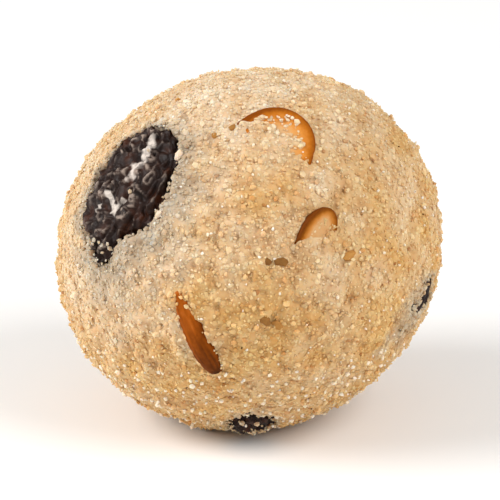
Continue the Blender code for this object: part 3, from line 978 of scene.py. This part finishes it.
# The rim strays from an oval by this share, with a noise read round a circle: its radius and height.
RIM_WOBBLE = 0.03
RIM_CIRCLE = (2.2, 5.0)
# Heights and sizes of the ripples on a flake's face.
FACE_RIPPLES = ((0.07 * MM, 1.3 * MM), (0.04 * MM, 0.4 * MM))


def flake_profile(smaller):
    """From the middle of the top face, over the rounded edge, to below: share of the rim, height."""
    inset = FLAKE_ROUNDING / smaller
    profile = [(ring / FLAKE_RINGS * (1.0 - inset), 0.0) for ring in range(1, FLAKE_RINGS)]
    for step in range(ROUNDING_STEPS + 1):
        angle = math.pi / 2.0 * step / ROUNDING_STEPS
        profile.append((1.0 - inset * (1.0 - math.sin(angle)), -FLAKE_ROUNDING * (1.0 - math.cos(angle))))
    profile.append((1.0 - 0.5 * inset, -FLAKE_THICKNESS))
    return profile


def flake_skin(name, inside):
    """1 for brown skin at the rim, less for the tan flesh further inside, and 0 for plain flesh."""
    brown = 1.0 - SKIN_FADE * inside / SKIN_WIDTH[name]
    tan = (1.0 - SKIN_FADE) * (1.0 - (inside - SKIN_WIDTH[name]) / TAN_WIDTH[name])
    return np.where(inside < SKIN_WIDTH[name], brown, tan.clip(0.0))


def add_flake(name, finish):
    """A slice across an almond: a flat oval of flesh with its skin round the edge."""
    flake = FLAKES[name]
    along, across = flake.half_sizes
    profile = flake_profile(min(flake.half_sizes))
    radius, level = RIM_CIRCLE
    places = [(0.0, 0.0, 0.0)]
    for share, height in profile:
        for step in range(FLAKE_STEPS):
            turn = math.tau * step / FLAKE_STEPS
            spot = Vector((radius * math.cos(turn), radius * math.sin(turn), level))
            wobble = 1.0 + RIM_WOBBLE * noise.noise(spot)
            x = math.cos(turn) * along * wobble * share
            y = math.sin(turn) * across * wobble * share
            places.append((x, y, height))
    faces = [[0, 1 + step, 1 + (step + 1) % FLAKE_STEPS] for step in range(FLAKE_STEPS)]
    faces += tube_faces(1, len(profile), FLAKE_STEPS)
    last = 1 + (len(profile) - 1) * FLAKE_STEPS
    faces.append([last + step for step in reversed(range(FLAKE_STEPS))])
    places = np.array(places)
    skin = flake_skin(name, inside_rim(flake.half_sizes, places[:, 0], places[:, 1]))
    skin += SIDE_BROWNING[name] * np.maximum(0.0, places[:, 1] / across)
    places[:, 2] += sum(height * noise_at(places, size) for height, size in FACE_RIPPLES)
    places[:, 2] -= flake_dip(name, places[:, 0])
    places = FLAKE_SEATS[name].world(places)
    add_piece(f"almond_{name}", places, faces, finish, {"skin": skin})


SLIVER_STEPS = 120
SLIVER_SIDES = 44
# The higher this is, the blunter a sliver's ends are.
SLIVER_BLUNTNESS = 16
GROOVE_DEPTH = 0.10 * MM
GROOVE_SHARPNESS = 3.0
STREAK_SIZE = np.array((2.4 * MM, 0.30 * MM, 0.30 * MM))
STREAK_SWING = 0.30


def add_sliver(name, number, finish):
    """A stick cut from an almond, bowed to the ball, with grooves and colour streaks along it."""
    sliver = SLIVERS[name]
    at_tip, at_end = sliver.skin
    places, skin = [], []
    for step in range(SLIVER_STEPS + 1):
        share = 0.5 - 0.5 * math.cos(math.pi * step / SLIVER_STEPS)
        swell = float(sliver_swell(np.array(share)))
        cap = math.sqrt(max(0.0, 1.0 - (2.0 * step / SLIVER_STEPS - 1.0) ** SLIVER_BLUNTNESS))
        x = (share - 0.5) * sliver.length
        for side in range(SLIVER_SIDES):
            angle = math.tau * side / SLIVER_SIDES
            y = math.cos(angle) * sliver.half_width * swell * cap
            z = math.sin(angle) * sliver.half_height * swell * cap
            streak = noise.noise(Vector(np.array((x, y, z)) / STREAK_SIZE + (0.0, 0.0, number)))
            trough = max(0.0, 1.0 - GROOVE_SHARPNESS * abs(streak))
            groove = 1.0 - GROOVE_DEPTH / sliver.half_width * trough
            places.append((x, y * groove, z * groove - x * x / (2.0 * LONG_RADIUS)))
            skin.append(at_tip + (at_end - at_tip) * share + STREAK_SWING * streak)
    faces = tube_faces(0, SLIVER_STEPS + 1, SLIVER_SIDES)
    faces.append(list(range(SLIVER_SIDES)))
    faces.append([SLIVER_STEPS * SLIVER_SIDES + side for side in reversed(range(SLIVER_SIDES))])
    places = SLIVER_SEATS[name].world(np.array(places))
    add_piece(f"almond_{name}", places, faces, finish, {"skin": skin})


def add_almonds():
    sliced = almond_finish("almond_slice", SLICE)
    blanched = almond_finish("almond_flesh", FLESH_ONLY)
    brown = almond_finish("almond_skin", SKIN_ONLY)
    roasted = almond_finish("almond_slice_dark", DARKER_SLICE)
    finishes = {"flake_middle": roasted, "sliver_front": brown, "sliver_back": brown, "sliver_pale": blanched}
    for name in FLAKES:
        add_flake(name, finishes.get(name, sliced))
    for number, name in enumerate(SLIVERS, 1):
        add_sliver(name, number, finishes.get(name, sliced))


# The chips of almond at the front. Skin is how brown one is.
Bit = namedtuple("Bit", "longitude latitude half_size skin")
FRONT_BITS = (
    Bit(31.0, 15.0, 1.00 * MM, 0.60),
    Bit(5.4, 16.0, 0.70 * MM, 1.05),
    Bit(9.6, 15.9, 0.76 * MM, 0.95),
    Bit(4.4, -1.7, 0.80 * MM, 0.90),
    Bit(8.0, -3.4, 0.56 * MM, 0.65),
    Bit(-9.8, 58.0, 0.50 * MM, 0.85),
    Bit(-18.7, 55.1, 0.50 * MM, 0.75),
)
BIT_RISE = 0.14 * MM
BIT_STRETCH = (0.55, 1.35)
# This many more are spread round the ball, but only those behind this Y of a direction are kept.
OTHER_BITS = 26
OTHER_BITS_SHIFT = 0.8
OTHER_BITS_BEHIND = -0.3
OTHER_BIT_HALF_SIZE = (0.20 * MM, 0.48 * MM)
OTHER_BIT_SKIN = (0.25, 0.85)
SPECK_COUNT = 24
SPECK_SHIFT = 0.9
SPECK_HALF_SIZE = (0.08 * MM, 0.14 * MM)
SPECK_RISE = 0.04 * MM
SPECK_STRETCH = (0.6, 1.4)
SPECK_SKIN = 0.5


def add_bits(finish, speck_finish):
    """Chips of almond, and specks of ground cardamom. How brown they are is kept as a roast."""
    draw = np.random.default_rng(SEEDS["bits"])
    ways = [direction(bit.longitude, bit.latitude) for bit in FRONT_BITS]
    half = [bit.half_size for bit in FRONT_BITS]
    skin = [bit.skin for bit in FRONT_BITS]
    for way in spiral_ways(OTHER_BITS, draw, OTHER_BITS_SHIFT):
        size = draw.uniform(*OTHER_BIT_HALF_SIZE)
        brown = draw.uniform(*OTHER_BIT_SKIN)
        if way[1] > OTHER_BITS_BEHIND:
            ways.append(way)
            half.append(size)
            skin.append(brown)
    bits, _ = settle(np.array(ways), BIT_RISE, np.array(half), np.array(skin), draw, proud=False)
    add_stones("almond_bits", bits, finish, {"skin": bits.roast}, draw, BIT_STRETCH)

    ways = spiral_ways(SPECK_COUNT, draw, SPECK_SHIFT)
    half = draw.uniform(*SPECK_HALF_SIZE, SPECK_COUNT)
    specks, _ = settle(ways, SPECK_RISE, half, np.full(SPECK_COUNT, SPECK_SKIN), draw)
    add_stones("cardamom_specks", specks, speck_finish, {"skin": specks.roast}, draw, SPECK_STRETCH)


# ---- stage, light, camera

CAMERA_ELEVATION = 20.0
CAMERA_DISTANCE = 0.60
# How wide the picture is at the ball. The sensor and the lens are in millimetres.
FRAME_WIDTH = 51.0 * MM
SENSOR_WIDTH = 36.0
LOOK_AT = np.array((0.0, 0.0, 17.6 * MM))
FLOOR_HALF = 1.5
CARD_WHITE = "#f7f6f4"
ROOM_LIGHT = 0.40
# The lamps: places and sizes in metres, and power in watts.
Softbox = namedtuple("Softbox", "place size watts")
SOFTBOXES = {
    "key": Softbox((-0.44, -0.09, 0.32), 0.40, 2.95),
    "fill": Softbox((0.37, -0.23, 0.38), 0.42, 2.35),
}


def add_floor():
    """A plain sheet of matt white card."""
    finish, _, _ = new_finish(
        "matt_white_card", Base_Color=linear(CARD_WHITE), Roughness=0.9, Specular_IOR_Level=0.2
    )
    mesh = bpy.data.meshes.new("floor")
    corners = [(x * FLOOR_HALF, y * FLOOR_HALF, 0.0) for x, y in ((-1, -1), (1, -1), (1, 1), (-1, 1))]
    mesh.from_pydata(corners, [], [(0, 1, 2, 3)])
    mesh.materials.append(finish)
    floor = add_object("floor", mesh)


def aim(thing, place):
    thing.location = place
    thing.rotation_euler = (Vector(LOOK_AT) - Vector(place)).to_track_quat("-Z", "Y").to_euler()


def add_light():
    world = bpy.data.worlds.new("studio")
    world.use_nodes = True
    room = world.node_tree.nodes["Background"]
    room.inputs["Color"].default_value = (1.0, 1.0, 1.0, 1.0)
    room.inputs["Strength"].default_value = ROOM_LIGHT
    bpy.context.scene.world = world
    for name, softbox in SOFTBOXES.items():
        light = bpy.data.lights.new(name, "AREA")
        light.shape = "DISK"
        light.size = softbox.size
        light.energy = softbox.watts
        aim(add_object(name, light), softbox.place)


def add_camera():
    lens = bpy.data.cameras.new("camera")
    lens.sensor_width = SENSOR_WIDTH
    lens.lens = SENSOR_WIDTH * CAMERA_DISTANCE / FRAME_WIDTH
    camera = add_object("camera", lens)
    tilt = math.radians(CAMERA_ELEVATION)
    aim(camera, LOOK_AT + CAMERA_DISTANCE * np.array((0.0, -math.cos(tilt), math.sin(tilt))))
    bpy.context.scene.camera = camera


add_floor()
add_light()
add_camera()
add_core(semolina_finish("semolina_crumb"))
add_semolina(semolina_finish("semolina_grain"))
add_fines(semolina_finish("semolina_flour"))
add_sugar(semolina_finish("sugar_crystal"))
add_raisins(raisin_finish())
add_almonds()
add_bits(almond_finish("almond_chip", CHIPS_OF_BOTH), almond_finish("cardamom", CARDAMOM))

bpy.context.scene.view_settings.view_transform = "Standard"
